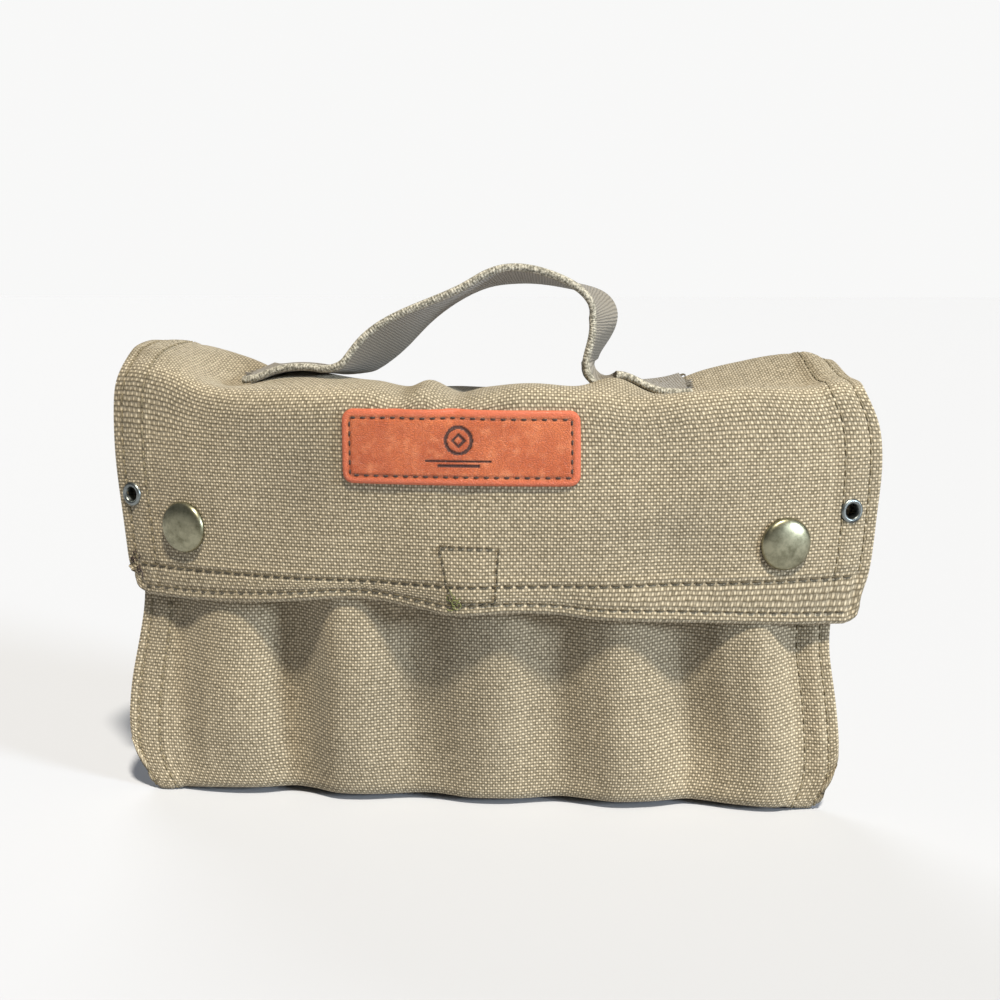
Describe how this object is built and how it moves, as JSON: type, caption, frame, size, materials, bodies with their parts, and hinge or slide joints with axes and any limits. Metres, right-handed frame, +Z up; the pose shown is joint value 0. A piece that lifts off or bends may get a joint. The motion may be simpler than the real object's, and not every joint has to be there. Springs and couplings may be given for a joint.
{
  "type": "canvas fold-over pouch",
  "caption": "Canvas carrying pouch with an inner row of pockets, a fold-over top and flap held by press snaps, corner eyelets, a leather label and a webbing carrying handle.",
  "frame": {"origin": "centre of the pouch's footprint box on the floor it stands on", "axes": "+X along the pouch's width to its right as seen from the front, -Y out of the flap's face, +Z up"},
  "size_m": [0.23, 0.0556, 0.1648],
  "materials": {
    "canvas": "heavy plain-weave cotton duck, khaki",
    "webbing": "ribbed cotton webbing, grey beige",
    "binding": "folded twill tape",
    "leather": "smooth tan leather with a fine grain",
    "antique_brass": "tarnished, half gloss",
    "nickel": "dull plated steel",
    "spring_steel": "drawn wire"
  },
  "bodies": {
    "case": {"front_panel": "canvas", "back_panel": "canvas", "bottom_panel": "canvas", "mouth_hem": "canvas", "pocket_sheet": "canvas", "pocket_binding": "binding", "side_seam_left": "canvas", "side_seam_right": "canvas", "back_side_hem_left": "canvas", "back_side_hem_right": "canvas", "snap_stud_left": "antique_brass", "snap_stud_right": "antique_brass", "snap_post_left": "antique_brass", "snap_post_right": "antique_brass"},
    "top": {"top_panel": "canvas", "top_side_hem_left": "canvas", "top_side_hem_right": "canvas", "handle_tail_left": "webbing", "handle_tail_right": "webbing"},
    "flap": {"flap_panel": "canvas", "flap_bottom_hem": "canvas", "flap_side_hem_left": "canvas", "flap_side_hem_right": "canvas", "flap_centre_tab": "webbing", "leather_label": "leather", "snap_cap_left": "antique_brass", "snap_cap_right": "antique_brass", "snap_socket_left": "antique_brass", "snap_socket_right": "antique_brass", "snap_spring_left": "spring_steel", "snap_spring_right": "spring_steel", "eyelet_left": "nickel", "eyelet_right": "nickel", "eyelet_washer_left": "nickel", "eyelet_washer_right": "nickel"},
    "handle": {"handle_grip": "webbing", "handle_leg_left": "webbing", "handle_leg_right": "webbing"}
  },
  "joints": [
    {"name": "top_fold", "type": "hinge", "parent": "case", "child": "top", "pos_m": [0, 0.0278, 0.129], "axis": [-1, 0, 0], "range_deg": [0, 100]},
    {"name": "flap_fold", "type": "hinge", "parent": "top", "child": "flap", "pos_m": [0, -0.0262, 0.1295], "axis": [-1, 0, 0], "range_deg": [0, 100]},
    {"name": "handle_swing", "type": "hinge", "parent": "top", "child": "handle", "pos_m": [0, 0.0008, 0.1312], "axis": [1, 0, 0], "range_deg": [-55, 55], "stiffness_Nm_per_rad": 0.01, "deforming": ["handle_leg_left", "handle_leg_right"]}
  ]
}
